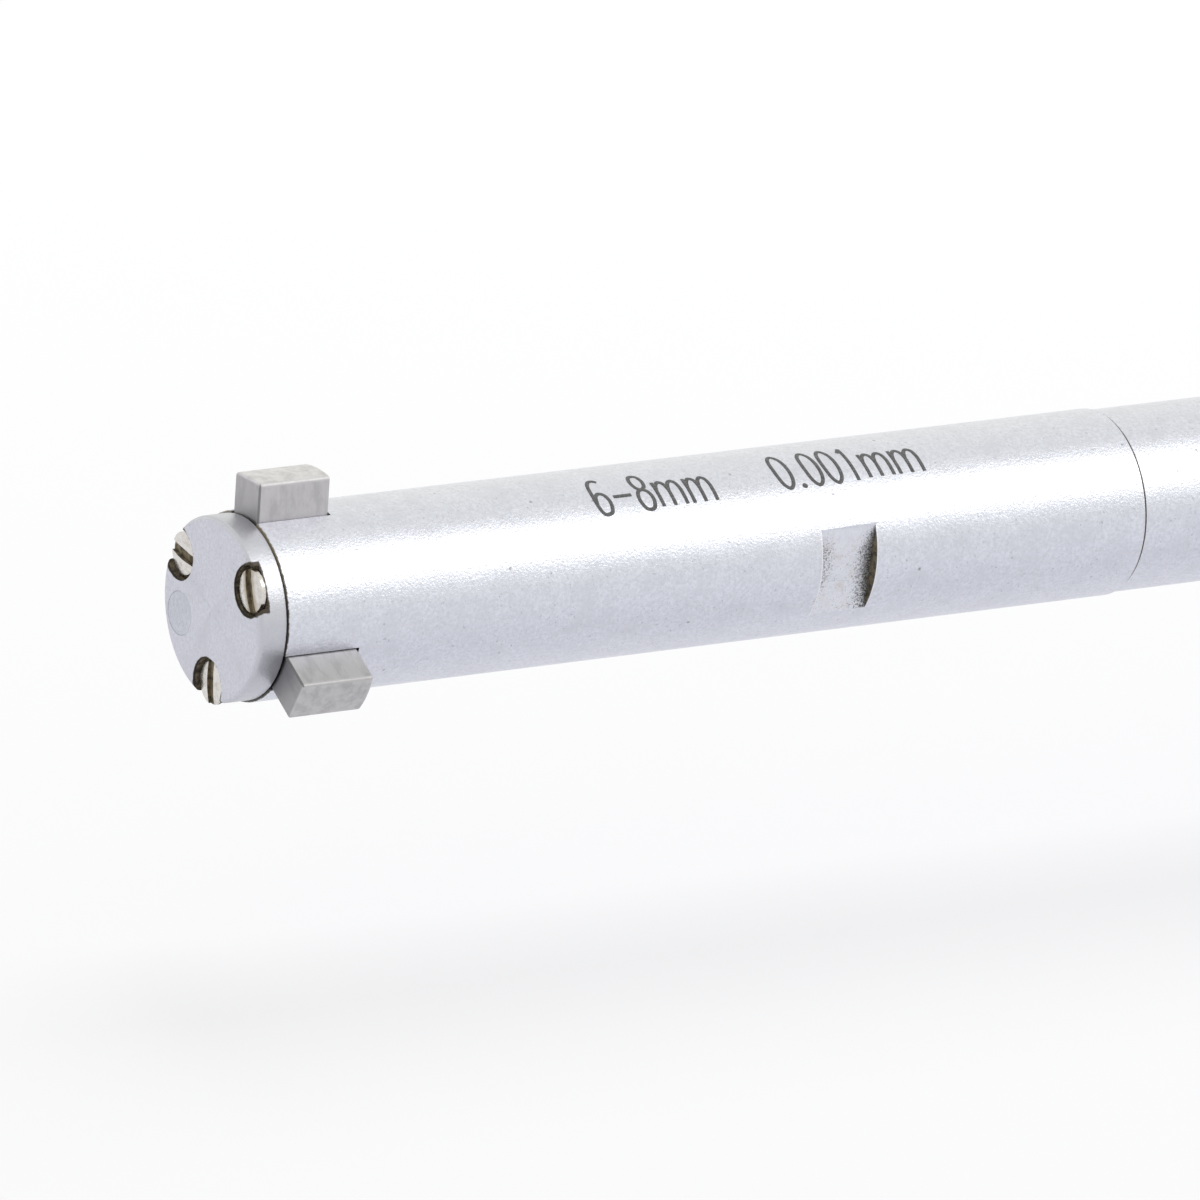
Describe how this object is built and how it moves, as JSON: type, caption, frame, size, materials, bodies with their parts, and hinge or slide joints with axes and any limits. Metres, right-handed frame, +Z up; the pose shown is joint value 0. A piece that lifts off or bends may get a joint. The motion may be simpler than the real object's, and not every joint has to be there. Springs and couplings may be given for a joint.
{
  "type": "inside micrometer",
  "caption": "Three-point inside micrometer for small bores: slim head with anvils spread by a cone, extension tube, thimble and ratchet.",
  "frame": {"origin": "middle of the front face of the end cap, at the tip of the measuring head", "axes": "+X runs back along the axis to the handle, +Z is up through the first measuring anvil"},
  "size_m": [0.1427, 0.0198, 0.0198],
  "materials": {
    "satin_chrome": "satin chrome plate",
    "ground_steel": "ground and hardened",
    "polished_steel": "polished",
    "spring_steel": "drawn wire",
    "bronze": "turned"
  },
  "bodies": {
    "frame": {"end_cap": "satin_chrome", "cap_plug": "satin_chrome", "cap_screws": "polished_steel", "head_body": "satin_chrome", "return_spring_1": "spring_steel", "return_spring_2": "spring_steel", "return_spring_3": "spring_steel", "rod_spring": "spring_steel", "extension_tube": "satin_chrome", "guide_bush": "bronze", "tube_ring": "satin_chrome", "barrel": "satin_chrome", "scale_sleeve": "satin_chrome", "adjusting_nut": "ground_steel"},
    "carriage": {"measuring_cone": "ground_steel", "push_rod": "ground_steel", "spring_collar": "ground_steel", "collar_pin": "polished_steel", "thrust_cup": "ground_steel", "thrust_ball": "polished_steel"},
    "thimble": {"spindle": "ground_steel", "thimble": "satin_chrome", "ratchet_base": "ground_steel", "ratchet_spring": "spring_steel", "ratchet_washer": "polished_steel", "ratchet_screw": "polished_steel"},
    "anvil_1": {"anvil_1": "ground_steel"},
    "anvil_2": {"anvil_2": "ground_steel"},
    "anvil_3": {"anvil_3": "ground_steel"},
    "click_ring": {"click_ring": "ground_steel"},
    "ratchet_knob": {"ratchet_knob": "satin_chrome"}
  },
  "joints": [
    {"name": "spindle_advance", "type": "slide", "parent": "frame", "child": "carriage", "axis": [1, 0, 0], "range_m": [-0.00027, 0.00173], "deforming": ["rod_spring"]},
    {"name": "thimble_turn", "type": "hinge", "parent": "carriage", "child": "thimble", "pos_m": [0.1, 0, 0], "axis": [1, 0, 0], "range_deg": [-195, 1246]},
    {"name": "anvil_slide_1", "type": "slide", "parent": "frame", "child": "anvil_1", "axis": [0, 0, 1], "range_m": [-0.00087, 0.00014], "deforming": ["return_spring_1"]},
    {"name": "anvil_slide_2", "type": "slide", "parent": "frame", "child": "anvil_2", "axis": [0, -0.866, -0.5], "range_m": [-0.00087, 0.00014], "deforming": ["return_spring_2"]},
    {"name": "anvil_slide_3", "type": "slide", "parent": "frame", "child": "anvil_3", "axis": [0, 0.866, -0.5], "range_m": [-0.00087, 0.00014], "deforming": ["return_spring_3"]},
    {"name": "click_ring_slide", "type": "slide", "parent": "thimble", "child": "click_ring", "axis": [-1, 0, 0], "range_m": [0, 0.0005], "stiffness_N_per_m": 300, "springref_m": -0.004, "deforming": ["ratchet_spring"]},
    {"name": "ratchet_turn", "type": "hinge", "parent": "thimble", "child": "ratchet_knob", "pos_m": [0.135, 0, 0], "axis": [1, 0, 0], "continuous": true}
  ],
  "couplings": [
    {"joint": "thimble_turn", "follows": "spindle_advance", "rad_per_m": 12566},
    {"joint": "anvil_slide_1", "follows": "spindle_advance", "ratio": -0.5},
    {"joint": "anvil_slide_2", "follows": "spindle_advance", "ratio": -0.5},
    {"joint": "anvil_slide_3", "follows": "spindle_advance", "ratio": -0.5}
  ]
}
